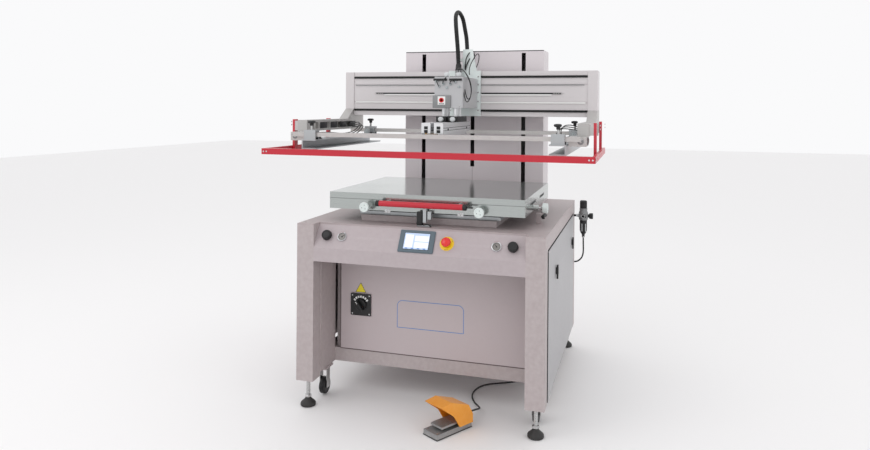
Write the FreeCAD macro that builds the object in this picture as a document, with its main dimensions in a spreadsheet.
"""Flat-bed screen printing press with a lifting print head, built as separate pieces.

The frame: millimetres, +Z up, -Y is the operator's side, X runs along the print stroke.
The origin is on the floor under the middle of the machine's outer box.
"""
import math
import os
import re

import FreeCAD
import Part
import Sketcher

# ---------------------------------------------------------------- driving dimensions
SIZES = {
    # where the front faces of the legs stand, measured from the origin
    "front_y": -545.5,
    # cabinet
    "cabinet_width": 1070.0, "cabinet_depth": 1180.0, "deck_top": 795.0, "deck_thick": 8.0,
    "post_width": 78.0, "post_depth": 71.0, "leg_bottom": 117.0,
    "rail_bottom": 136.0, "rail_height": 60.0, "rail_width": 40.0, "rail_inset": 25.0,
    "sheet": 3.0, "panel_recess": 222.0, "panel_gap": 31.0, "panel_depth": 24.0,
    "inner_post_depth": 40.0, "inner_post_lap": 16.0,
    # console
    "lip_bottom": 636.0, "lip_top": 695.0, "console_tilt": 58.2, "console_return": 20.0,
    "screen_width": 152.0, "screen_height": 96.0, "screen_proud": 7.0, "screen_shift": 0.0,
    "gauge_radius": 21.0, "gauge_proud": 9.0, "gauge_x": 336.0,
    "knob_radius": 22.0, "knob_height": 24.0, "knob_x": 404.0, "knob_bore": 8.0,
    "estop_x": 129.0, "estop_ring_radius": 30.0, "estop_ring_thick": 4.0, "estop_radius": 20.0,
    "estop_travel": 5.0, "fitting_height": 55.0,
    # main switch on the front panel
    "switch_x": -326.0, "switch_z": 403.0, "switch_size": 100.0, "switch_thick": 6.0,
    "switch_knob_radius": 27.0, "switch_knob_depth": 30.0,
    # door on the right side
    "door_gap": 9.0, "door_top": 725.0, "door_bottom": 126.0, "door_thick": 16.0, "door_proud": 1.5,
    "latch_z": 590.0, "latch_front_y": 330.0, "latch_rear_y": 1010.0, "latch_size": 60.0,
    # feet and casters
    "foot_radius": 33.0, "foot_thick": 20.0, "stem_radius": 8.0,
    "caster_x": 480.0, "axle_radius": 6.0, "caster_front_y": 150.0, "caster_rear_y": 1030.0, "wheel_radius": 37.5,
    "wheel_width": 26.0, "wheel_lift": 2.5, "caster_plate": 8.0, "caster_trail": 18.0,
    # column and lift
    "column_width": 772.0, "column_front": 992.0, "column_top": 1608.0, "slot_x": 279.0,
    "slot_width": 22.0, "slot_bottom": 860.0, "middle_slot_bottom": 978.0, "slot_margin": 14.0,
    "mast_width": 660.0, "mast_thick": 20.0, "mast_gap": 10.0, "mast_rail": 20.0,
    "mast_rail_depth": 18.0, "screw_radius": 12.5, "lift_plate": 16.0,
    "lift_bottom": 1300.0, "lift_height": 140.0, "lift_arm": 10.0, "motor_size": 110.0,
    "motor_height": 145.0, "running_gap": 0.05, "gap": 0.3,
    # beam
    "beam_half": 629.0, "beam_front": 827.0, "beam_depth": 130.0, "beam_bottom": 1255.0,
    "beam_top": 1488.0, "beam_wall": 10.0, "beam_lip": 24.0, "beam_slot": 10.0, "cover_thick": 8.0,
    "end_width": 48.0, "end_bottom": 1289.0, "end_proud": 5.0, "groove": 4.0,
    # arms and screen holders
    "arm_front": 267.0, "arm_bottom": 1181.0, "arm_top": 1235.0, "arm_pocket": 14.0,
    "cross_rail": 20.0, "cross_rail_height": 19.0, "front_rail_y": 170.0, "rear_rail_y": 890.0,
    "front_rail_half": 652.0, "bracket_drop": 39.0, "bracket_inner": 600.0, "bracket_outer": 672.0,
    "holder_x": 560.0, "holder_width": 70.0, "holder_bottom": 1105.0, "holder_height": 45.0,
    "holder_front": 150.0, "holder_back": 960.0, "holder_wall": 6.0, "saddle_width": 56.0,
    "saddle_wall": 8.0, "saddle_gap": 3.0, "t_knob_radius": 19.0, "t_knob_stem": 5.0,
    # safety frame
    "guard_half": 721.0, "guard_front": 15.0, "guard_bar": 26.0, "guard_bottom": 1087.0,
    "guard_plate": 13.0, "guard_back": 700.0, "hanger_width": 30.0, "hanger_thick": 12.0,
    "hanger_top": 1238.0, "hanger_front_y": 275.0, "hanger_rear_y": 640.0,
    # print carriage
    "plate_half": 85.0, "plate_thick": 14.0, "plate_gap": 6.0, "bracket_top": 1602.0,
    "block_half": 70.0, "block_front": 500.0, "block_bottom": 1296.0, "block_top": 1439.0,
    "block_lid": 8.0, "bar_x": 29.0, "bar_front": 235.0, "bar_length": 500.0, "bar_width": 42.0,
    "bar_bottom": 1183.0, "bar_height": 35.0, "clamp_thick": 12.0, "foot_block_front": 475.0,
    "foot_block_length": 170.0, "foot_block_height": 26.0, "guide_radius": 8.0, "piston_radius": 6.0,
    "guide_span": 80.0, "blade_thick": 9.0, "blade_drop": 18.0, "flood_thick": 3.0,
    "dial_radius": 13.0, "dial_depth": 14.0,
    # table
    "table_width": 872.0, "table_front": 116.0, "table_depth": 699.0, "table_top": 923.0,
    "table_plate": 33.0, "table_frame": 40.0, "slide_thick": 14.0, "base_half": 306.0,
    "base_front": 167.0, "base_depth": 590.0, "base_top": 821.0, "slide_half": 320.0,
    "dial_x": 253.0, "dial_z": 868.0, "dial_wheel": 21.5, "dial_y": 62.0, "spindle_radius": 6.0,
    "side_dial_y": 300.0, "table_play": 13.0, "dial_reach": 24.0, "bar_half": 200.0, "bar_y": 60.0, "bar_size": 26.0, "bar_z": 874.0,
    "bar_support_x": 160.0, "bar_travel": 5.0, "lever_y": 345.0,
    # filter and regulator
    "filter_out": 51.0, "filter_inset": 40.0, "filter_bottom": 692.0, "filter_body": 50.0,
    "bowl_radius": 20.0, "bowl_drop": 76.0, "filter_knob_radius": 19.0, "inlet_radius": 6.0,
    "inlet_depth": 14.0,
    # foot switch
    "pedal_x": 150.0, "pedal_y": -12.0, "pedal_turn": -31.0, "pedal_width": 80.0,
    "pedal_length": 190.0, "pedal_base": 22.0, "guard_width": 96.0, "guard_height": 132.0,
    "tread_width": 66.0, "tread_thick": 8.0, "tread_length": 130.0, "pin_radius": 4.0,
    # where the cords go in
    "cord_x": 440.0, "cord_y": 808.0, "gland_height": 12.0, "socket_x": 520.0, "socket_z": 452.0,
    "socket_reach": 25.0,
    # cords
    "conduit_radius": 11.0, "cord_radius": 3.5, "tube_radius": 4.0,
}

# worked out from the driving dimensions; every Y here is measured from the origin
WORKED = {
    "cabinet_half": "cabinet_width / 2",
    "cabinet_back": "front_y + cabinet_depth",
    "post_inner": "cabinet_half - post_width",
    "post_top": "deck_top - deck_thick",
    "rail_outer": "cabinet_half - rail_inset",
    "rail_inner": "rail_outer - rail_width",
    "rail_top": "rail_bottom + rail_height",
    "post_back": "front_y + post_depth",
    "rear_post": "cabinet_back - post_depth",
    "panel_front": "front_y + panel_recess",
    "panel_half": "post_inner - panel_gap",
    "console_run": "(deck_top - deck_thick - lip_top) / tan(console_tilt)",
    "column_y": "front_y + column_front",
    "column_half": "column_width / 2",
    "mast_back": "cabinet_back - mast_gap",
    "mast_front": "mast_back - mast_thick",
    "rail_face": "mast_front - mast_rail_depth",
    "lift_back": "rail_face - 10",
    "lift_front": "lift_back - lift_plate",
    "screw_y": "lift_front - 26",
    "beam_y": "front_y + beam_front",
    "beam_back": "beam_y + beam_depth",
    "beam_outer": "beam_half + end_width",
    "arm_y": "front_y + arm_front",
    "front_rail": "front_y + front_rail_y",
    "rear_rail": "front_y + rear_rail_y",
    "rail_low": "arm_bottom - cross_rail_height",
    "holder_top": "holder_bottom + holder_height",
    "holder_half": "holder_width / 2",
    "saddle_span": "cross_rail + 2 * saddle_gap + 2 * saddle_wall",
    "saddle_height": "arm_bottom + saddle_gap + saddle_wall - holder_top",
    "guard_y": "front_y + guard_front",
    "plate_y": "beam_y - plate_gap - plate_thick",
    "block_y": "front_y + block_front",
    "bar_top": "bar_bottom + bar_height",
    "clamp_top": "bar_top + clamp_thick",
    "foot_block_top": "clamp_top + foot_block_height",
    "bar_y_front": "front_y + bar_front",
    "foot_block_y": "front_y + foot_block_front",
    "piston_y": "foot_block_y + foot_block_length / 2",
    "table_y": "front_y + table_front",
    "table_half": "table_width / 2",
    "frame_top": "table_top - table_plate",
    "frame_bottom": "frame_top - table_frame",
    "base_y": "front_y + base_front",
    "slide_bottom": "base_top + gap",
    "slide_top": "slide_bottom + slide_thick",
    "door_front": "post_back + door_gap",
    "door_back": "rear_post - door_gap",
    "door_outer": "cabinet_half + door_proud",
    "door_inner": "door_outer - door_thick",
    "filter_x": "cabinet_half + filter_out",
    "filter_y": "cabinet_back - filter_inset",
    "fork_top": "rail_bottom - caster_plate",
    "side_post": "table_half + table_play",
    "axle_z": "wheel_radius + wheel_lift",
}

DOC = FreeCAD.newDocument("screen_press")
SHEET = DOC.addObject("Spreadsheet::Sheet", "sizes")
VALUES = DOC.addObject("App::VarSet", "worked")
PIECES = []
DRIVE_UNITS = []
COUNTER = {}


def text(expression):
    """Turn plain names into references to the sheet and to the worked-out values."""
    def reference(match):
        word = match.group(0)
        if word in SIZES:
            return "sizes." + word
        if word in WORKED:
            return "worked." + word
        return word
    return re.sub(r"[A-Za-z_][A-Za-z_0-9]*", reference, str(expression))


def fill_sheet():
    for row, (name, number) in enumerate(SIZES.items(), start=1):
        SHEET.set("A%d" % row, name)
        SHEET.set("B%d" % row, str(number))
        SHEET.setAlias("B%d" % row, name)
    DOC.recompute()
    for name, expression in WORKED.items():
        VALUES.addProperty("App::PropertyFloat", name)
        VALUES.setExpression(name, text(expression))
    DOC.recompute()


def number(name):
    """Read one value back from the sheet or from the worked-out values."""
    return float(getattr(VALUES if name in WORKED else SHEET, name))


def fresh(kind, name):
    COUNTER[name] = COUNTER.get(name, 0) + 1
    return DOC.addObject(kind, "%s_%d" % (name, COUNTER[name]))


def place(thing, corner):
    for letter, expression in zip("xyz", corner):
        thing.setExpression("Placement.Base." + letter, text(expression))
    return thing


# ---------------------------------------------------------------- plain shapes
TURNS = {
    "z": FreeCAD.Rotation(),
    "x": FreeCAD.Rotation(FreeCAD.Vector(0, 1, 0), 90),
    "y": FreeCAD.Rotation(FreeCAD.Vector(1, 0, 0), -90),
}


def block(corner, size):
    box = fresh("Part::Box", "block")
    for side, expression in zip(("Length", "Width", "Height"), size):
        box.setExpression(side, text(expression))
    return place(box, corner)


def span(low, high):
    """A block between two opposite corners."""
    size = ["(%s) - (%s)" % (b, a) for a, b in zip(low, high)]
    return block(low, size)


def pair_x(inner, outer, side):
    """The lower and upper X of something that lies between inner and outer on one side."""
    if side > 0:
        return inner, outer
    return "-(%s)" % outer, "-(%s)" % inner


def rod(base, radius, length, axis="z"):
    cylinder = fresh("Part::Cylinder", "rod")
    cylinder.Placement = FreeCAD.Placement(FreeCAD.Vector(), TURNS[axis])
    cylinder.setExpression("Radius", text(radius))
    cylinder.setExpression("Height", text(length))
    return place(cylinder, base)


def taper(base, radius_low, radius_high, length, axis="z"):
    cone = fresh("Part::Cone", "taper")
    cone.Placement = FreeCAD.Placement(FreeCAD.Vector(), TURNS[axis])
    cone.setExpression("Radius1", text(radius_low))
    cone.setExpression("Radius2", text(radius_high))
    cone.setExpression("Height", text(length))
    return place(cone, base)


def fuse(parts):
    joined = fresh("Part::MultiFuse", "joined")
    joined.Shapes = parts
    return joined


def cut(base, tools):
    result = fresh("Part::Cut", "cut")
    result.Base = base
    result.Tool = tools[0] if len(tools) == 1 else fuse(tools)
    return result


def group(parts):
    """Separate solids that share one node."""
    together = fresh("Part::Compound", "group")
    together.Links = parts
    return together


def keep(thing, label):
    thing.Label = label
    PIECES.append(thing)
    return thing


# ---------------------------------------------------------------- sketched shapes
def polygon(body, plane, points, name="outline"):
    """A closed outline whose corners are all fixed by expressions."""
    sketch = body.newObject("Sketcher::SketchObject", name)
    support = [item for item in body.Origin.OriginFeatures if item.Role == plane][0]
    sketch.AttachmentSupport = [(support, "")]
    sketch.MapMode = "FlatFace"
    count = len(points)
    rough = []
    for index in range(count):
        turn = 2 * math.pi * index / count
        rough.append(FreeCAD.Vector(100 * math.cos(turn), 100 * math.sin(turn), 0))
    for index in range(count):
        sketch.addGeometry(Part.LineSegment(rough[index], rough[(index + 1) % count]), False)
    for index in range(count):
        sketch.addConstraint(Sketcher.Constraint("Coincident", index, 2, (index + 1) % count, 1))
    for index, (across, up) in enumerate(points):
        for kind, expression, start in (("DistanceX", across, rough[index].x),
                                        ("DistanceY", up, rough[index].y)):
            row = sketch.addConstraint(Sketcher.Constraint(kind, -1, 1, index, 1, start))
            sketch.setExpression("Constraints[%d]" % row, text(expression))
    return sketch


def extrusion(plane, points, length, corner):
    body = fresh("PartDesign::Body", "body")
    sketch = polygon(body, plane, points)
    pad = body.newObject("PartDesign::Pad", "pad")
    pad.Profile = sketch
    pad.setExpression("Length", text(length))
    body.Tip = pad
    return place(body, corner)


def turned(points, corner):
    """A piece turned about its own Z axis; the outline is radius against height."""
    body = fresh("PartDesign::Body", "body")
    sketch = polygon(body, "XZ_Plane", points)
    spun = body.newObject("PartDesign::Revolution", "spun")
    spun.Profile = sketch
    spun.ReferenceAxis = (sketch, ["V_Axis"])
    spun.Angle = 360
    body.Tip = spun
    return place(body, corner)


# ---------------------------------------------------------------- cabinet
def build_cabinet():
    posts = []
    for side in (-1, 1):
        low, high = pair_x("post_inner", "cabinet_half", side)
        posts.append(span((low, "front_y", "leg_bottom"), (high, "post_back", "post_top")))
        posts.append(span((low, "rear_post", "leg_bottom"), (high, "cabinet_back", "post_top")))
        low, high = pair_x("rail_inner", "rail_outer", side)
        posts.append(span((low, "post_back", "rail_bottom"), (high, "rear_post", "rail_top")))
        low, high = pair_x("panel_half - inner_post_lap", "post_inner - sheet", side)
        start = "panel_front + panel_depth"
        posts.append(span((low, start, "rail_top"), (high, start + " + inner_post_depth", "post_top")))
    rail_low, rail_high = "rail_bottom", "rail_top"
    posts.append(span(("-rail_inner", "panel_front", rail_low),
                      ("rail_inner", "panel_front + rail_width", rail_high)))
    posts.append(span(("-post_inner", "cabinet_back - sheet - rail_width", rail_low),
                      ("post_inner", "cabinet_back - sheet", rail_high)))
    for side in (-1, 1):
        posts.append(rear_caster_fork(side))
        posts.append(caster_plate(side, "caster_front_y"))
    posts.append(span(("cord_x - 12", "front_y + cord_y - 12", "rail_bottom - gland_height"),
                      ("cord_x + 12", "front_y + cord_y + 12", "rail_bottom")))
    posts.append(span(("socket_x - 16", "cabinet_back", "socket_z - 8"),
                      ("socket_x", "cabinet_back + socket_reach", "socket_z + 8")))
    keep(group(posts), "cabinet_frame")

    deck = span(("-cabinet_half", "front_y", "post_top"), ("cabinet_half", "cabinet_back", "deck_top"))
    screw_hole = rod(("0", "screw_y", "post_top - 1"), "screw_radius + 3", "deck_thick + 2")
    notch = span(("-post_inner", "front_y - 1", "post_top - 1"),
                 ("post_inner", "front_y + console_run", "deck_top + 1"))
    sheets = [cut(deck, [screw_hole, notch])]

    panel = span(("-panel_half", "panel_front", "rail_top"),
                 ("panel_half", "panel_front + panel_depth", "lip_bottom + 24"))
    hollow = span(("-panel_half + sheet", "panel_front + sheet", "rail_top + sheet"),
                  ("panel_half - sheet", "panel_front + panel_depth + 1", "lip_bottom + 24 - sheet"))
    spindle_hole = rod(("switch_x", "panel_front - 1", "switch_z"), "knob_bore", "sheet + 2", "y")
    half = "switch_size / 2"
    plate = span(("switch_x - " + half, "panel_front - switch_thick", "switch_z - " + half),
                 ("switch_x + " + half, "panel_front", "switch_z + " + half))
    hole = rod(("switch_x", "panel_front - switch_thick - 1", "switch_z"), "knob_bore", "switch_thick + 2", "y")
    keep(group([cut(panel, [hollow, spindle_hole]), cut(plate, [hole])]), "front_panel")

    sheets.append(span(("-cabinet_half", "post_back", "rail_top"),
                       ("-cabinet_half + sheet", "rear_post", "post_top")))
    sheets.append(span(("-post_inner", "cabinet_back - sheet", "rail_bottom"),
                       ("post_inner", "cabinet_back", "post_top")))
    sheets.append(span(("cabinet_half - sheet", "post_back", "door_top + door_gap"),
                       ("cabinet_half", "rear_post", "post_top")))
    sheets.append(fuse([span(("-rail_inner", "panel_front + rail_width", "rail_bottom"),
                             ("rail_inner", "rear_post", "rail_bottom + sheet")),
                        span(("-post_inner", "rear_post", "rail_bottom"),
                             ("post_inner", "cabinet_back - sheet - rail_width", "rail_bottom + sheet"))]))
    for side in (-1, 1):
        low, high = pair_x("post_inner - sheet", "post_inner", side)
        sheets.append(span((low, "post_back", "rail_bottom"), (high, "panel_front", "lip_bottom")))
    sheets.append(span(("-column_half + sheet", "cabinet_back - sheet", "deck_top"),
                       ("column_half - sheet", "cabinet_back", "column_top - sheet")))
    seal_out = "cabinet_half"
    seal_in = "door_inner"
    sheets.append(span((seal_in, "post_back", "door_bottom"), (seal_out, "door_front - gap", "door_top")))
    sheets.append(span((seal_in, "door_back + gap", "door_bottom"), (seal_out, "rear_post", "door_top")))
    sheets.append(span((seal_in, "post_back", "door_top + gap"),
                       ("cabinet_half - sheet", "rear_post", "door_top + door_gap")))
    keep(group(sheets), "cabinet_panels")


def rear_caster_fork(side):
    middle = "%d * caster_x" % side
    y = "front_y + caster_rear_y"
    half = "wheel_width / 2 + 2"
    plate = span((middle + " - 32", y + " - 38", "fork_top"), (middle + " + 32", y + " + 38", "rail_bottom"))
    cheeks = []
    for hand in (-1, 1):
        low, high = pair_x(half, half + " + 3", hand)
        cheeks.append(span(("%s + %s" % (middle, low), y + " - 20", "axle_z - 8"),
                           ("%s + %s" % (middle, high), y + " + 20", "fork_top")))
    axle = rod(("%s - wheel_width / 2 - 5" % middle, y, "axle_z"), "axle_radius", "wheel_width + 10", "x")
    return fuse([plate] + cheeks + [axle])


def caster_plate(side, where):
    middle = "%d * caster_x" % side
    y = "front_y + " + where
    plate = span((middle + " - 32", y + " - 38", "fork_top"), (middle + " + 32", y + " + 38", "rail_bottom"))
    return cut(plate, [rod((middle, y, "fork_top - 1"), "axle_radius + running_gap", "caster_plate + 2")])


def build_feet():
    feet = []
    for side in (-1, 1):
        for y in ("front_y + post_depth / 2 + 3", "cabinet_back - post_depth / 2"):
            x = "%d * (cabinet_half - post_width / 2)" % side
            profile = [("0", "0"), ("foot_radius", "0"), ("foot_radius", "foot_thick * 0.4"),
                       ("stem_radius + 8", "foot_thick"), ("stem_radius", "foot_thick"),
                       ("stem_radius", "leg_bottom - 14"), ("stem_radius + 6", "leg_bottom - 14"),
                       ("stem_radius + 6", "leg_bottom"), ("0", "leg_bottom")]
            feet.append(turned(profile, (x, y, "0")))
    keep(group(feet), "levelling_feet")


def build_casters():
    """Front casters swivel in a fork; the two rear wheels roll on one line in fixed forks."""
    for side, hand in ((-1, "left"), (1, "right")):
        middle = "%d * caster_x" % side
        y = "front_y + caster_front_y"
        crown = span((middle + " - wheel_width / 2 - 5", y + " - 22", "fork_top - 6"),
                     (middle + " + wheel_width / 2 + 5", y + " + 34", "fork_top - gap"))
        king = rod((middle, y, "fork_top - 6"), "axle_radius", "caster_plate + 4")
        cheeks = []
        for edge in (-1, 1):
            low, high = pair_x("wheel_width / 2 + 2", "wheel_width / 2 + 5", edge)
            cheeks.append(span(("%s + %s" % (middle, low), y + " + caster_trail - 16", "axle_z - 8"),
                               ("%s + %s" % (middle, high), y + " + caster_trail + 16", "fork_top - 6")))
        axle = rod((middle + " - wheel_width / 2 - 5", y + " + caster_trail", "axle_z"),
                   "axle_radius", "wheel_width + 10", "x")
        keep(fuse([crown, king, axle] + cheeks), "caster_fork_" + hand)
        keep(wheel(middle, y + " + caster_trail"), "caster_wheel_" + hand)
        keep(wheel(middle, "front_y + caster_rear_y"), "rear_wheel_" + hand)


def wheel(x, y):
    tread = rod((x + " - wheel_width / 2", y, "axle_z"), "wheel_radius", "wheel_width", "x")
    hub = rod((x + " - wheel_width / 2 - 1", y, "axle_z"), "wheel_radius / 3", "wheel_width + 2", "x")
    bore = rod((x + " - wheel_width", y, "axle_z"), "axle_radius + running_gap", "2 * wheel_width", "x")
    return cut(fuse([tread, hub]), [bore])


# ---------------------------------------------------------------- console
def on_slope(thing, x, up, out=0.0):
    """Seat a piece, modelled on the XY plane, on the sloping console face."""
    tilt = math.radians(number("console_tilt"))
    base = FreeCAD.Vector(x,
                          number("front_y") + up * math.cos(tilt) - out * math.sin(tilt),
                          number("lip_top") + up * math.sin(tilt) + out * math.cos(tilt))
    turn = FreeCAD.Rotation(FreeCAD.Vector(1, 0, 0), number("console_tilt"))
    thing.Placement = FreeCAD.Placement(base, turn)
    return thing


def build_console():
    wall = "sheet"
    lip = "lip_top - lip_bottom"
    profile = [("0", "0"), ("0", lip), ("console_run", "deck_top - lip_bottom - deck_thick"),
               ("console_run + console_return", "deck_top - lip_bottom - deck_thick"),
               ("console_run + console_return", "deck_top - lip_bottom - deck_thick - %s" % wall),
               ("console_run + %s" % wall, "deck_top - lip_bottom - deck_thick - %s" % wall),
               ("%s" % wall, lip + " - sheet / 2"), (wall, "0")]
    shell = extrusion("YZ_Plane", profile, "2 * post_inner", ("-post_inner", "front_y", "lip_bottom"))
    up = number("fitting_height")
    holes = []
    spots = [(side * number("knob_x"), "knob_bore") for side in (-1, 1)]
    spots.append((number("estop_x"), "knob_bore"))
    for x, radius in spots:
        hole = fresh("Part::Cylinder", "hole")
        hole.setExpression("Radius", text(radius))
        hole.Height = 60
        holes.append(on_slope(hole, x, up, -30))
    keep(cut(shell, holes), "console_shell")

    display = fresh("Part::Box", "display")
    display.setExpression("Length", text("screen_width"))
    display.setExpression("Width", text("screen_height"))
    display.setExpression("Height", text("screen_proud"))
    start = number("screen_shift") - number("screen_width") / 2
    keep(on_slope(display, start, up - number("screen_height") / 2, 0.0), "touch_screen")

    gauges = []
    for side in (-1, 1):
        gauge = turned([("0", "0"), ("gauge_radius", "0"), ("gauge_radius", "gauge_proud - 2"),
                        ("gauge_radius - 2", "gauge_proud"), ("gauge_radius - 4", "gauge_proud"),
                        ("gauge_radius - 4", "gauge_proud - 2"), ("0", "gauge_proud - 2")], ("0", "0", "0"))
        for letter in "xyz":
            gauge.setExpression("Placement.Base." + letter, None)
        gauges.append(on_slope(gauge, side * number("gauge_x"), up))

    ring = turned([("knob_bore", "0"), ("estop_ring_radius", "0"), ("estop_ring_radius", "estop_ring_thick"),
                   ("knob_bore", "estop_ring_thick")], ("0", "0", "0"))
    for letter in "xyz":
        ring.setExpression("Placement.Base." + letter, None)
    gauges.append(on_slope(ring, number("estop_x"), up))
    keep(group(gauges), "console_dials")

    def loose(points):
        piece = turned(points, ("0", "0", "0"))
        for letter in "xyz":
            piece.setExpression("Placement.Base." + letter, None)
        return piece

    stem = "knob_bore - running_gap"
    base = "estop_ring_thick + estop_travel + gap"
    button = loose([("0", "-16"), (stem, "-16"), (stem, base), ("estop_radius - 4", base),
                    ("estop_radius", base + " + 5"), ("estop_radius", base + " + 14"),
                    ("estop_radius - 5", base + " + 19"), ("0", base + " + 20")])
    keep(on_slope(button, number("estop_x"), up), "estop_button")
    for side, hand in ((-1, "left"), (1, "right")):
        knob = loose([("0", "-16"), (stem, "-16"), (stem, "1"), ("knob_radius - 2", "1"),
                      ("knob_radius", "3"), ("knob_radius", "knob_height - 3"),
                      ("knob_radius - 3", "knob_height"), ("0", "knob_height")])
        keep(on_slope(knob, side * number("knob_x"), up), "pressure_knob_" + hand)


def build_main_switch():
    front = "panel_front - switch_thick - gap"
    disc = rod(("switch_x", front + " - 8", "switch_z"), "switch_knob_radius", "8", "y")
    grip = span(("switch_x - 6", front + " - switch_knob_depth", "switch_z - switch_knob_radius + 2"),
                ("switch_x + 6", front + " - 8", "switch_z + switch_knob_radius - 2"))
    spindle = rod(("switch_x", front, "switch_z"), "knob_bore - running_gap", "switch_thick + sheet + 8", "y")
    keep(fuse([disc, grip, spindle]), "switch_knob")


# ---------------------------------------------------------------- door on the right
def build_door():
    shell = span(("door_inner", "door_front", "door_bottom"), ("door_outer", "door_back", "door_top"))
    hollow = span(("door_inner - 1", "door_front + sheet", "door_bottom + sheet"),
                  ("door_outer - sheet", "door_back - sheet", "door_top - sheet"))
    holes = []
    for place_y in ("latch_front_y", "latch_rear_y"):
        holes.append(rod(("door_outer - sheet - 1", "front_y + " + place_y, "latch_z"),
                         "knob_bore", "sheet + 2", "x"))
    keep(cut(shell, [hollow] + holes), "side_door")
    for place_y, hand in (("latch_front_y", "front"), ("latch_rear_y", "rear")):
        y = "front_y + " + place_y
        spindle = rod(("door_outer - sheet - 8", y, "latch_z"), "knob_bore - running_gap", "sheet + 10", "x")
        paddle = span(("door_outer + gap", y + " - 11", "latch_z - latch_size / 2"),
                      ("door_outer + 12", y + " + 11", "latch_z + latch_size / 2"))
        cam = span(("door_outer - sheet - 11", y + " - 9", "latch_z - 9"),
                   ("door_outer - sheet - 7", y + " + 9", "latch_z + 32"))
        keep(fuse([spindle, paddle, cam]), "latch_" + hand)


# ---------------------------------------------------------------- column and lift
def build_column():
    shell = span(("-column_half", "column_y", "deck_top"), ("column_half", "cabinet_back", "column_top"))
    hollow = span(("-column_half + sheet", "column_y + sheet", "deck_top - 1"),
                  ("column_half - sheet", "cabinet_back + 1", "column_top - sheet"))
    slots = []
    for x, bottom in (("-slot_x", "slot_bottom"), ("0", "middle_slot_bottom"), ("slot_x", "slot_bottom")):
        slots.append(span((x + " - slot_width / 2", "column_y - 1", bottom),
                          (x + " + slot_width / 2", "column_y + sheet + 1", "column_top - slot_margin")))
    keep(cut(shell, [hollow] + slots), "column_cover")

    plate = span(("-mast_width / 2", "mast_front", "deck_top"), ("mast_width / 2", "mast_back", "column_top - 20"))
    rails = [plate]
    for side in (-1, 1):
        x = "%d * slot_x" % side
        rails.append(span((x + " - mast_rail / 2", "rail_face", "deck_top + 20"),
                          (x + " + mast_rail / 2", "mast_front", "column_top - 30")))
    for low, high in (("deck_top + 12", "deck_top + 40"), ("column_top - 70", "column_top - 42")):
        housing = span(("-36", "screw_y - 24", low), ("36", "mast_front", high))
        bore = rod(("0", "screw_y", low + " - 1"), "screw_radius + running_gap", "30")
        rails.append(cut(housing, [bore]))
    keep(group(rails), "mast")

    motor_top = "post_top - 40"
    motor = span(("-motor_size / 2", "screw_y - motor_size / 2", motor_top + " - motor_height"),
                 ("motor_size / 2", "screw_y + motor_size / 2 - 12", motor_top))
    hanger = span(("-motor_size / 2", "screw_y + motor_size / 2 - 12", motor_top + " - 40"),
                  ("motor_size / 2", "screw_y + motor_size / 2", "post_top"))
    DRIVE_UNITS.append(fuse([motor, hanger]))

    screw = rod(("0", "screw_y", "post_top - 20"), "screw_radius", "column_top - post_top - 35")
    coupling = rod(("0", "screw_y", "post_top - 39"), "screw_radius * 2", "30")
    keep(fuse([screw, coupling]), "lift_screw")

    plate = span(("-mast_width / 2 + 10", "lift_front", "lift_bottom"),
                 ("mast_width / 2 - 10", "lift_back", "lift_bottom + lift_height"))
    parts = [plate]
    for side in (-1, 1):
        x = "%d * slot_x" % side
        for low in ("lift_bottom", "lift_bottom + lift_height - 50"):
            shoe = span((x + " - 24", "lift_back", low), (x + " + 24", "rail_face + 12", low + " + 50"))
            gap_cut = span((x + " - mast_rail / 2 - gap", "rail_face - gap", low + " - 1"),
                           (x + " + mast_rail / 2 + gap", "rail_face + 13", low + " + 51"))
            parts.append(cut(shoe, [gap_cut]))
        parts.append(span((x + " - lift_arm / 2", "beam_back", "lift_bottom"),
                          (x + " + lift_arm / 2", "lift_front", "lift_bottom + lift_height")))
        parts.append(span((x + " - 40", "beam_back", "lift_bottom"),
                          (x + " + 40", "beam_back + 10", "lift_bottom + lift_height")))
    nut = span(("-30", "screw_y - 22", "lift_bottom + 40"), ("30", "lift_front", "lift_bottom + 100"))
    keep(cut(fuse(parts + [nut]), [rod(("0", "screw_y", "lift_bottom + 39"),
                                       "screw_radius + running_gap", "62")]), "lift_carriage")


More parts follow.
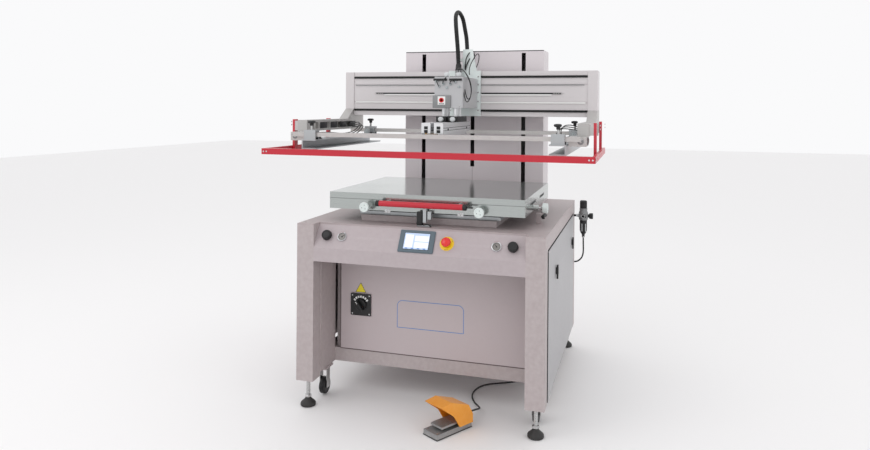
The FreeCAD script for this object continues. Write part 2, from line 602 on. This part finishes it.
# ---------------------------------------------------------------- beam and arms
def build_beam():
    depth = "beam_depth"
    height = "beam_top - beam_bottom"
    wall = "beam_wall"
    lip = "cover_thick"
    profile = [("0", "0"), (depth, "0"), (depth, height), ("0", height),
               ("0", height + " - beam_lip"), (lip, height + " - beam_lip"),
               (lip, height + " - beam_wall"), (depth + " - " + wall, height + " - beam_wall"),
               (depth + " - " + wall, wall), (lip, wall), (lip, "beam_lip"), ("0", "beam_lip")]
    channel = extrusion("YZ_Plane", profile, "2 * beam_half", ("-beam_half", "beam_y", "beam_bottom"))

    low = "beam_bottom + beam_lip + beam_slot"
    high = "beam_top - beam_lip - beam_slot"
    cover = span(("-beam_half", "beam_y", low), ("beam_half", "beam_y + cover_thick", high))
    grooves = []
    for share in (0.78, 0.5, 0.23):
        z = "%s + %s * ((%s) - (%s))" % (low, share, high, low)
        half = "beam_half - 120" if share == 0.5 else "beam_half + 1"
        grooves.append(span(("-(%s)" % half, "beam_y - 1", z), (half, "beam_y + 3", z + " + groove")))
    cover_plate = cut(cover, grooves)

    screw_z = "(beam_bottom + beam_top) / 2"
    screw_line = "beam_y + beam_depth / 2"
    caps = []
    for side in (-1, 1):
        inner, outer = pair_x("beam_half", "beam_outer", side)
        cap = span((inner, "beam_y - end_proud", "end_bottom"), (outer, "beam_back + end_proud", "beam_top"))
        bore_start = inner if side > 0 else "-beam_half - 30"
        caps.append(cut(cap, [rod((bore_start + (" - 1" if side > 0 else ""), screw_line, screw_z),
                                  "piston_radius + running_gap", "31", "x")]))
    keep(group([channel, cover_plate] + caps), "beam")
    keep(rod(("-beam_half - 28", screw_line, screw_z), "piston_radius", "2 * beam_half + 56", "x"),
         "traverse_screw")


def build_arms():
    arms = []
    rise = "arm_top - arm_bottom"
    reach = "beam_back - arm_y"
    profile = [("0", "0"), (reach, "0"), (reach, "end_bottom - arm_bottom"),
               ("beam_y - arm_y - end_proud", "end_bottom - arm_bottom"),
               ("beam_y - arm_y - 90", rise), ("0", rise)]
    for side in (-1, 1):
        inner, outer = pair_x("beam_half", "beam_outer", side)
        body = extrusion("YZ_Plane", profile, "end_width", (inner, "arm_y", "arm_bottom"))
        pockets = []
        for start, length in ((40, 34), (92, 30), (150, 100), (270, 130), (420, 110)):
            low = ("%s" % inner, "arm_y + %d" % start, "arm_bottom + 12")
            high = ("%s" % outer, "arm_y + %d" % (start + length), "arm_top - 12")
            near = span(("%s - 1" % inner, low[1], low[2]), ("%s + arm_pocket" % inner, high[1], high[2]))
            far = span(("%s - arm_pocket" % outer, low[1], low[2]), ("%s + 1" % outer, high[1], high[2]))
            pockets.extend([near, far])
        arms.append(cut(body, pockets))
    rails = [
        span(("-front_rail_half", "front_rail", "rail_low"),
             ("front_rail_half", "front_rail + cross_rail", "arm_bottom")),
        span(("-beam_outer", "rear_rail", "rail_low"), ("beam_outer", "rear_rail + cross_rail", "arm_bottom")),
    ]
    for side in (-1, 1):
        inner, outer = pair_x("bracket_inner", "bracket_outer", side)
        rails.append(span((inner, "front_rail + cross_rail", "arm_bottom - bracket_drop"),
                          (outer, "arm_y + 60", "arm_bottom")))
    keep(group(rails), "cross_rails")
    guides = []
    for side in (-1, 1):
        inner, outer = pair_x("beam_outer", "guard_half - guard_plate - hanger_thick - gap", side)
        for y in ("hanger_front_y", "hanger_rear_y"):
            guides.append(span((inner, "front_y + " + y, "arm_bottom + 4"),
                               (outer, "front_y + %s + hanger_width" % y, "arm_top - 4")))
    keep(group(arms + guides), "frame_arms")


def build_screen_holders():
    """Channels that grip the sides of the screen frame and slide on the two cross rails."""
    for side, hand in ((-1, "left"), (1, "right")):
        low, high = pair_x("holder_x - holder_half", "holder_x + holder_half", side)
        y_low, y_high = "front_y + holder_front", "front_y + holder_back"
        channel = span((low, y_low, "holder_bottom"), (high, y_high, "holder_top"))
        in_low, in_high = pair_x("holder_x - holder_half - 1", "holder_x + holder_half - holder_wall", side)
        mouth = span((in_low, y_low + " - 1", "holder_bottom + holder_wall"),
                     (in_high, y_high + " + 1", "holder_top - holder_wall"))
        saddles = [cut(channel, [mouth])]
        for rail in ("front_rail", "rear_rail"):
            start = rail + " - saddle_gap - saddle_wall"
            s_low, s_high = pair_x("holder_x - saddle_width / 2", "holder_x + saddle_width / 2", side)
            outer = span((s_low, start, "holder_top"), (s_high, start + " + saddle_span", "holder_top + saddle_height"))
            inner = span((s_low + " - 1", rail + " - saddle_gap", "holder_top - 1"),
                         (s_high + " + 1", rail + " + cross_rail + saddle_gap", "arm_bottom + saddle_gap"))
            stem = rod(("%d * holder_x" % side, rail + " + cross_rail / 2", "arm_bottom"),
                       "t_knob_stem + running_gap", "saddle_height")
            saddles.append(cut(outer, [inner, stem]))
        keep(group(saddles), "screen_holder_" + hand)
        for rail, end in (("front_rail", "front"), ("rear_rail", "rear")):
            top = "holder_top + saddle_height"
            x, y = "%d * holder_x" % side, rail + " + cross_rail / 2"
            shaft = rod((x, y, "arm_bottom + gap"), "t_knob_stem", "saddle_height - gap + 12")
            head = taper((x, y, top + " + 6"), "t_knob_stem + 5", "t_knob_radius - 4", "12")
            bar = rod((x, y, top + " + 18"), "t_knob_radius", "7")
            keep(fuse([shaft, head, bar]), "clamp_knob_%s_%s" % (hand, end))


def build_guard():
    """The red frame round the print head that stops the machine when it is touched."""
    top = "guard_bottom + guard_bar"
    front = span(("-guard_half", "guard_y", "guard_bottom"), ("guard_half", "guard_y + guard_bar", top))
    hollow = span(("-guard_half - 1", "guard_y + 3", "guard_bottom + 3"),
                  ("guard_half + 1", "guard_y + guard_bar - 3", top + " - 3"))
    parts = [cut(front, [hollow])]
    for side in (-1, 1):
        inner, outer = pair_x("guard_half - guard_plate", "guard_half", side)
        plate = span((inner, "guard_y + guard_bar", "guard_bottom"),
                     (outer, "front_y + guard_back", top))
        holes = []
        for y in (120, 260, 400, 540):
            holes.append(rod((inner + " - 1", "guard_y + %d" % y, "guard_bottom + guard_bar / 2"),
                             "5", "guard_plate + 2", "x"))
        parts.append(cut(plate, holes))
        inner, outer = pair_x("guard_half - guard_plate - hanger_thick", "guard_half - guard_plate", side)
        for y in ("hanger_front_y", "hanger_rear_y"):
            parts.append(span((inner, "front_y + " + y, "guard_bottom"),
                              (outer, "front_y + %s + hanger_width" % y, "hanger_top")))
    keep(group([fuse(parts)]), "guard_frame")


# ---------------------------------------------------------------- print carriage
def build_carriage():
    bottom = "beam_bottom"
    height = "beam_top + 3 - beam_bottom"
    profile = [("-plate_half", "0"), ("plate_half", "0"), ("plate_half", height), ("63", height),
               ("40", "bracket_top - beam_bottom"), ("-8", "bracket_top - beam_bottom"), ("-12", height),
               ("-plate_half", height)]
    plate = extrusion("XZ_Plane", profile, "plate_thick", ("0", "plate_y + plate_thick", bottom))
    tabs = []
    shoe_front = "beam_y + beam_depth / 2 - 22"
    for z in ("beam_bottom + beam_lip + 1", "beam_top - beam_lip - beam_slot + 1"):
        tabs.append(span(("-plate_half + 10", "plate_y + plate_thick", z),
                         ("plate_half - 10", shoe_front, z + " + beam_slot - 2")))
    shoe = span(("-plate_half + 10", shoe_front, "beam_bottom + beam_lip"),
                ("plate_half - 10", shoe_front + " + 44", "beam_top - beam_lip"))
    bore = rod(("-plate_half", "beam_y + beam_depth / 2", "(beam_bottom + beam_top) / 2"),
               "piston_radius + running_gap", "2 * plate_half", "x")
    arm = span(("-36", "plate_y + plate_thick", "bracket_top - 60"), ("-4", "beam_back + 4", "bracket_top - 48"))
    arm_root = span(("-36", "plate_y", "bracket_top - 60"), ("0", "plate_y + plate_thick", "bracket_top - 48"))
    gland = rod(("-20", "beam_back - 10", "bracket_top - 48"), "conduit_radius + 4", "12")
    keep(cut(fuse([plate, shoe, arm, arm_root, gland] + tabs), [bore]), "carriage_plate")

    block_body = span(("-block_half", "block_y", "block_bottom"), ("block_half", "plate_y", "block_top"))
    bores = []
    for side in (-1, 1):
        x = "%d * bar_x" % side
        for shift in ("-guide_span / 2", "guide_span / 2"):
            bores.append(rod((x, "piston_y + " + shift, "block_bottom - 1"), "guide_radius + running_gap",
                             "block_top - block_bottom + 2"))
        bores.append(rod((x, "piston_y", "block_bottom - 1"), "piston_radius + running_gap",
                         "block_top - block_bottom - 20"))
    lid = span(("-block_half", "block_y", "block_top"), ("block_half", "plate_y", "block_top + block_lid"))
    stand = rod(("-24", "plate_y - 30", "block_top + block_lid"), "conduit_radius + 6", "44")
    dials = []
    for x in (-40, 22):
        dials.append(rod(("%d" % x, "block_y + 120", "block_top + block_lid"), "9", "26"))
    keep(group([cut(block_body, bores), fuse([lid, stand] + dials)]), "cylinder_block")

    for side, hand, thick in ((-1, "squeegee", "blade_thick"), (1, "flood", "flood_thick")):
        build_blade_set(side, hand, thick)


def build_blade_set(side, hand, thick):
    """One blade with its aluminium bar, its clamp and the rods that carry it."""
    x = "%d * bar_x" % side
    half = "bar_width / 2"
    clamp = span((x + " - " + half, "bar_y_front", "bar_top"),
                 (x + " + " + half, "bar_y_front + bar_length", "clamp_top"))
    foot = span((x + " - " + half, "foot_block_y", "clamp_top"),
                (x + " + " + half, "foot_block_y + foot_block_length", "foot_block_top"))
    rods = []
    top = "block_top - foot_block_top - 30"
    for shift in ("-guide_span / 2", "guide_span / 2"):
        rods.append(rod((x, "piston_y + " + shift, "foot_block_top"), "guide_radius", top))
    rods.append(rod((x, "piston_y", "foot_block_top"), "piston_radius", top))
    hole = rod((x, "foot_block_y - 1", "clamp_top + dial_radius"), "t_knob_stem + running_gap", "20", "y")
    carrier = cut(fuse([clamp, foot] + rods), [hole])

    slot = "%s / 2" % thick
    profile = [("-" + half, "0"), ("-(%s)" % slot, "0"), ("-(%s)" % slot, "14"), (slot, "14"), (slot, "0"),
               (half, "0"), (half, "bar_height"), ("-" + half, "bar_height")]
    bar = extrusion("XZ_Plane", profile, "bar_length", (x, "bar_y_front + bar_length", "bar_bottom"))
    blade = span((x + " - " + slot, "bar_y_front", "bar_bottom - blade_drop"),
                 (x + " + " + slot, "bar_y_front + bar_length", "bar_bottom + 14"))
    if hand == "squeegee":
        keep(group([carrier, bar]), "squeegee_bar")
        keep(blade, "squeegee_blade")
    else:
        keep(group([carrier, bar, blade]), "flood_bar")
    wheel_part = rod((x, "foot_block_y - dial_depth - gap", "clamp_top + dial_radius"), "dial_radius - gap",
                     "dial_depth", "y")
    stem = rod((x, "foot_block_y - gap - 1", "clamp_top + dial_radius"), "t_knob_stem", "18", "y")
    keep(fuse([wheel_part, stem]), hand + "_dial")


# ---------------------------------------------------------------- table
def build_table():
    base = [span(("-base_half", "base_y", "deck_top"), ("base_half", "base_y + base_depth", "base_top"))]
    lever_post = span(("side_post", "front_y + lever_y - 14", "deck_top"),
                      ("side_post + dial_reach - 4", "front_y + lever_y + 14", "deck_top + 44"))
    base.append(cut(lever_post, [rod(("side_post - 1", "front_y + lever_y", "deck_top + 28"),
                                     "t_knob_stem + running_gap", "dial_reach", "x")]))
    keep(group(base), "table_base")

    slide = span(("-slide_half", "base_y + 20", "slide_bottom"), ("slide_half", "base_y + base_depth - 20",
                                                                  "slide_top"))
    keep(slide, "cross_slide")

    top = span(("-table_half", "table_y", "frame_top"), ("table_half", "table_y + table_depth", "table_top"))
    frame = span(("-table_half", "table_y", "frame_bottom"),
                 ("table_half", "table_y + table_depth", "frame_top"))
    chamber = span(("-table_half + 30", "table_y + 30", "frame_bottom + 10"),
                   ("table_half - 30", "table_y + table_depth - 30", "frame_top + 1"))
    slots = []
    for start, end in ((139, 284), (410, 547)):
        slots.append(span(("table_half - 8", "table_y + %d" % start, "frame_top - 9"),
                          ("table_half + 1", "table_y + %d" % end, "frame_top - 3")))
    pads = []
    for side in (-1, 1):
        low, high = pair_x("slide_half - 90", "slide_half - 50", side)
        pads.append(span((low, "base_y + 40", "slide_top + gap"), (high, "base_y + base_depth - 40", "frame_bottom")))
    bosses, holes = [], []
    for side in (-1, 1):
        x = "%d * dial_x" % side
        bosses.append(rod((x, "table_y - 34", "dial_z"), "spindle_radius + 6", "40", "y"))
        holes.append(rod((x, "table_y - 35", "dial_z"), "spindle_radius + running_gap", "33", "y"))
        x = "%d * bar_support_x" % side
        bosses.append(rod((x, "table_y - 22", "bar_z + bar_size / 2"), "t_knob_stem + 5", "22", "y"))
        holes.append(rod((x, "table_y - 23", "bar_z + bar_size / 2"), "t_knob_stem + running_gap", "22", "y"))
    bosses.append(rod(("table_half - 6", "front_y + side_dial_y", "dial_z"), "spindle_radius + 6", "34", "x"))
    holes.append(rod(("table_half + 2", "front_y + side_dial_y", "dial_z"), "spindle_radius + running_gap", "28", "x"))
    keep(group([top, cut(fuse([frame] + pads + bosses), [chamber] + slots + holes)]), "table_top")

    for side, hand in ((-1, "left"), (1, "right")):
        x = "%d * dial_x" % side
        disc = rod((x, "front_y + dial_y", "dial_z"), "dial_wheel", "12", "y")
        spindle = rod((x, "front_y + dial_y + 12", "dial_z"), "spindle_radius", "28", "y")
        keep(fuse([disc, spindle]), "table_dial_" + hand)
    disc = rod(("side_post + dial_reach + 8", "front_y + side_dial_y", "dial_z"), "dial_wheel", "24", "x")
    spindle = rod(("side_post + 2", "front_y + side_dial_y", "dial_z"), "spindle_radius", "dial_reach + 8", "x")
    keep(fuse([disc, spindle]), "side_dial")

    y, z = "front_y + lever_y", "deck_top + 28"
    side = "side_post + dial_reach - 4 + gap"
    shaft = rod(("side_post + 2", y, z), "t_knob_stem", "dial_reach", "x")
    hub = rod((side, y, z), "9", "13", "x")
    handle = rod((side + " + 6.5", y, z), "t_knob_stem", "46", "y")
    ball = rod((side + " + 6.5", y + " + 44", z), "9", "16", "y")
    keep(fuse([shaft, hub, handle, ball]), "lock_lever")

    bar = span(("-bar_half", "front_y + bar_y", "bar_z"), ("bar_half", "front_y + bar_y + bar_size", "bar_z + bar_size"))
    parts = [bar]
    for side in (-1, 1):
        parts.append(rod(("%d * bar_support_x" % side, "front_y + bar_y + bar_size", "bar_z + bar_size / 2"),
                         "t_knob_stem", "20", "y"))
    keep(fuse(parts), "table_bar")


# ---------------------------------------------------------------- inside and on the side
def build_inner_units():
    floor = "rail_bottom + sheet"
    blower = rod(("-60", "front_y + 620", floor + " + 150"), "135", "150", "x")
    foot = span(("-60", "front_y + 530", floor), ("90", "front_y + 710", floor + " + 60"))
    outlet = rod(("60", "front_y + 720", floor + " + 150"), "32", "140", "z")
    motor = rod(("90", "front_y + 620", floor + " + 150"), "75", "150", "x")
    DRIVE_UNITS.append(fuse([blower, foot, outlet, motor]))
    case = span(("-panel_half + 20", "front_y + 320", floor + " + 60"),
                ("-panel_half + 200", "front_y + 520", floor + " + 420"))
    legs = span(("-panel_half + 60", "front_y + 360", floor), ("-panel_half + 160", "front_y + 480", floor + " + 60"))
    DRIVE_UNITS.append(fuse([case, legs]))
    keep(group(DRIVE_UNITS), "drive_units")


def build_filter():
    half = "filter_body / 2"
    x, y = "filter_x", "filter_y"
    top = "filter_bottom + filter_body"
    body = span((x + " - " + half, y + " - " + half, "filter_bottom"), (x + " + " + half, y + " + " + half, top))
    arm = span(("cabinet_half", y + " - 10", "filter_bottom + 14"), (x + " - " + half, y + " + 10", top + " - 14"))
    collar = rod((x, y, top), "filter_knob_radius + 2", "16")
    gauge = rod((x + " + " + half, y, "filter_bottom + filter_body / 2"), "filter_knob_radius", "26", "x")
    inlet = rod((x, y + " - %s - 1" % half, "filter_bottom + filter_body / 2"), "inlet_radius",
                "inlet_depth + 1", "y")
    spindle = rod((x, y, top + " - 10"), "t_knob_stem + running_gap", "40")
    head = cut(fuse([body, arm, collar, gauge]), [inlet, spindle])
    bowl = rod((x, y, "filter_bottom - bowl_drop"), "bowl_radius", "bowl_drop")
    drain = rod((x, y, "filter_bottom - bowl_drop - 14"), "7", "14")
    keep(group([head, fuse([bowl, drain])]), "filter_body")
    knob = rod((x, y, top + " + 16 + gap"), "filter_knob_radius", "42")
    stem = rod((x, y, top + " - 8"), "t_knob_stem", "30")
    keep(fuse([knob, stem]), "filter_knob")


# ---------------------------------------------------------------- foot switch
def seat_pedal(thing):
    turn = FreeCAD.Rotation(FreeCAD.Vector(0, 0, 1), number("pedal_turn"))
    base = FreeCAD.Vector(number("pedal_x"), number("front_y") + number("pedal_y"), 0)
    thing.Placement = FreeCAD.Placement(base, turn)
    return thing


def build_pedal():
    half, long = "pedal_width / 2", "pedal_length / 2"
    plate = span(("-" + half, "-" + long, "0"), (half, long, "pedal_base"))
    ears = []
    for side in (-1, 1):
        low, high = pair_x("tread_width / 2 + 1", half, side)
        ears.append(span((low, long + " - 40", "pedal_base"), (high, long + " - 16", "pedal_base + 26")))
    pin = rod(("-" + half, long + " - 28", "pedal_base + 14"), "pin_radius", "pedal_width", "x")
    gland = rod(("0", long, "pedal_base + 18"), "cord_radius + 4", "10", "y")
    boss = span(("-12", long + " - 12", "pedal_base"), ("12", long, "pedal_base + 30"))
    keep(seat_pedal(fuse([plate, pin, gland, boss] + ears)), "pedal_base")

    lip = "6"
    outer = [("-" + long + " + 12", "guard_height - 6"), ("-24", "guard_height"), (long + " - 24", "guard_height - 34"),
             (long, "pedal_base + 34"), (long, "pedal_base"), ("22", "pedal_base"), ("-10", "pedal_base + 50")]
    hood = extrusion("YZ_Plane", outer, "guard_width", ("-guard_width / 2", "0", "0"))
    room = span(("-guard_width / 2 + 4", "-" + long + " - 1", "-1"), ("guard_width / 2 - 4", long + " - 14", "pedal_base + 40"))
    roof = [("-" + long + " - 1", "pedal_base + 30"), (long + " - 18", "pedal_base + 30"),
            (long + " - 28", "guard_height - 42"), ("-24", "guard_height - " + lip),
            ("-" + long + " - 1", "guard_height - 14")]
    inside = extrusion("YZ_Plane", roof, "guard_width - 8", ("-guard_width / 2 + 4", "0", "0"))
    back = span(("-12 - gap", long + " - 16", "pedal_base"), ("12 + gap", long + " + 1", "pedal_base + 31"))
    keep(seat_pedal(cut(hood, [room, inside, back])), "pedal_guard")

    tread_low = "pedal_base + 10"
    tread = span(("-tread_width / 2", long + " - 28 - tread_length", tread_low),
                 ("tread_width / 2", long + " - 22", tread_low + " + tread_thick"))
    bore = rod(("-tread_width", long + " - 28", "pedal_base + 14"), "pin_radius + running_gap",
               "2 * tread_width", "x")
    barrel = rod(("-tread_width / 2", long + " - 28", "pedal_base + 14"), "pin_radius + 4",
                 "tread_width", "x")
    keep(seat_pedal(cut(fuse([tread, barrel]), [bore])), "pedal_tread")


# ---------------------------------------------------------------- cords
def cord(label, points, radius):
    """A round tube along straight runs joined by tangent arcs, as large as the runs allow."""
    points = [FreeCAD.Vector(*point) for point in points]
    edges, start, radii, length = [], points[0], [], 0.0
    for before, corner, after in zip(points, points[1:], points[2:]):
        into = (corner - before).normalize()
        out = (after - corner).normalize()
        half_turn = into.getAngle(out) / 2
        reach = 0.45 * min(before.distanceToPoint(corner), after.distanceToPoint(corner))
        radii.append(reach / math.tan(half_turn))
        arc_start = corner - into * reach
        arc_end = corner + out * reach
        bisector = (out - into).normalize()
        centre_gap = radii[-1] / math.cos(half_turn)
        middle = corner + bisector * (centre_gap - radii[-1])
        edges.append(Part.LineSegment(start, arc_start).toShape())
        edges.append(Part.Arc(arc_start, middle, arc_end).toShape())
        start = arc_end
    edges.append(Part.LineSegment(start, points[-1]).toShape())
    wire = Part.Wire(edges)
    ring = Part.Wire([Part.Circle(points[0], points[1] - points[0], radius).toShape()])
    shape = wire.makePipeShell([ring], True, True)
    expected = math.pi * radius ** 2 * wire.Length
    print("%s: length %.0f, smallest radius %.0f, volume ratio %.4f, radii %s" %
          (label, wire.Length, min(radii), shape.Volume / expected, [round(value) for value in radii]))
    piece = DOC.addObject("Part::Feature", label)
    piece.Shape = shape
    return keep(piece, label)


def build_cords():
    front = number("front_y")
    top = number("block_top") + number("block_lid") + 44
    back = number("beam_back") - 10
    far_top = number("bracket_top") - 36
    near = number("plate_y") - 30
    conduit = [(-24, near, top), (-26, near - 2, top + 76), (-34, near + 4, top + 156),
               (-46, near + 22, top + 234), (-58, near + 58, top + 298), (-56, near + 116, top + 324),
               (-44, near + 164, top + 290), (-32, back - 12, top + 232), (-22, back - 2, top + 170),
               (-20, back, far_top)]
    cord("carriage_conduit", conduit, number("conduit_radius"))

    turn = math.radians(-number("pedal_turn"))
    reach = number("pedal_length") / 2 + 10
    exit_x = number("pedal_x") + reach * math.sin(turn)
    exit_y = front + number("pedal_y") + reach * math.cos(turn)
    exit_z = number("pedal_base") + 18
    gland_x, gland_y = number("cord_x"), front + number("cord_y")
    gland_z = number("rail_bottom") - number("gland_height")
    floor = number("cord_radius") + 0.2
    pedal = [(exit_x, exit_y, exit_z),
             (exit_x + 40 * math.sin(turn), exit_y + 40 * math.cos(turn), exit_z),
             (exit_x + 36, exit_y + 88, 26), (exit_x + 24, exit_y + 138, 10),
             (exit_x - 8, exit_y + 186, floor), (exit_x - 34, exit_y + 236, floor),
             (exit_x - 44, exit_y + 294, floor), (exit_x - 36, exit_y + 352, floor),
             (exit_x - 8, exit_y + 402, floor), (exit_x + 40, exit_y + 432, floor),
             (exit_x + 92, exit_y + 458, floor), (exit_x + 136, exit_y + 498, floor),
             (exit_x + 168, exit_y + 552, floor), (exit_x + 196, exit_y + 606, floor + 2),
             (gland_x - 20, gland_y - 66, floor + 14), (gland_x - 6, gland_y - 22, gland_z - 78),
             (gland_x, gland_y, gland_z - 40), (gland_x, gland_y + 0.5, gland_z)]
    cord("pedal_cord", pedal, number("cord_radius"))

    x, y = number("filter_x"), number("filter_y")
    low = number("filter_bottom") - number("bowl_drop") - 14
    end_x, end_z = number("socket_x"), number("socket_z")
    end_y = number("cabinet_back") + number("socket_reach") - 8
    tube = [(x, y, low), (x, y + 3, low - 35), (x, y + 15, low - 70), (x - 3, y + 33, low - 100),
            (x - 13, end_y - 8, end_z + 24), (end_x + 36, end_y - 1, end_z + 7),
            (end_x + 18, end_y, end_z), (end_x, end_y, end_z)]
    cord("filter_tube", tube, number("tube_radius"))


# ---------------------------------------------------------------- build, check, write
def build_all():
    fill_sheet()
    build_cabinet()
    build_feet()
    build_casters()
    build_console()
    build_main_switch()
    build_door()
    build_column()
    build_beam()
    build_arms()
    build_screen_holders()
    build_guard()
    build_carriage()
    build_table()
    build_inner_units()
    build_filter()
    build_pedal()
    DOC.recompute()
    build_cords()
    DOC.recompute()


def check_and_write():
    for thing in DOC.Objects:
        if "Invalid" in thing.State or "Error" in thing.State:
            raise RuntimeError("failed object: %s %s" % (thing.Name, thing.State))
    os.makedirs("parts", exist_ok=True)
    for piece in PIECES:
        shape = piece.Shape
        if shape.isNull() or not shape.isValid():
            raise RuntimeError("bad shape: " + piece.Label)
    for piece in PIECES:
        piece.Shape.exportStep("parts/%s.step" % piece.Label)
    print("pieces written:", len(PIECES))


build_all()
check_and_write()
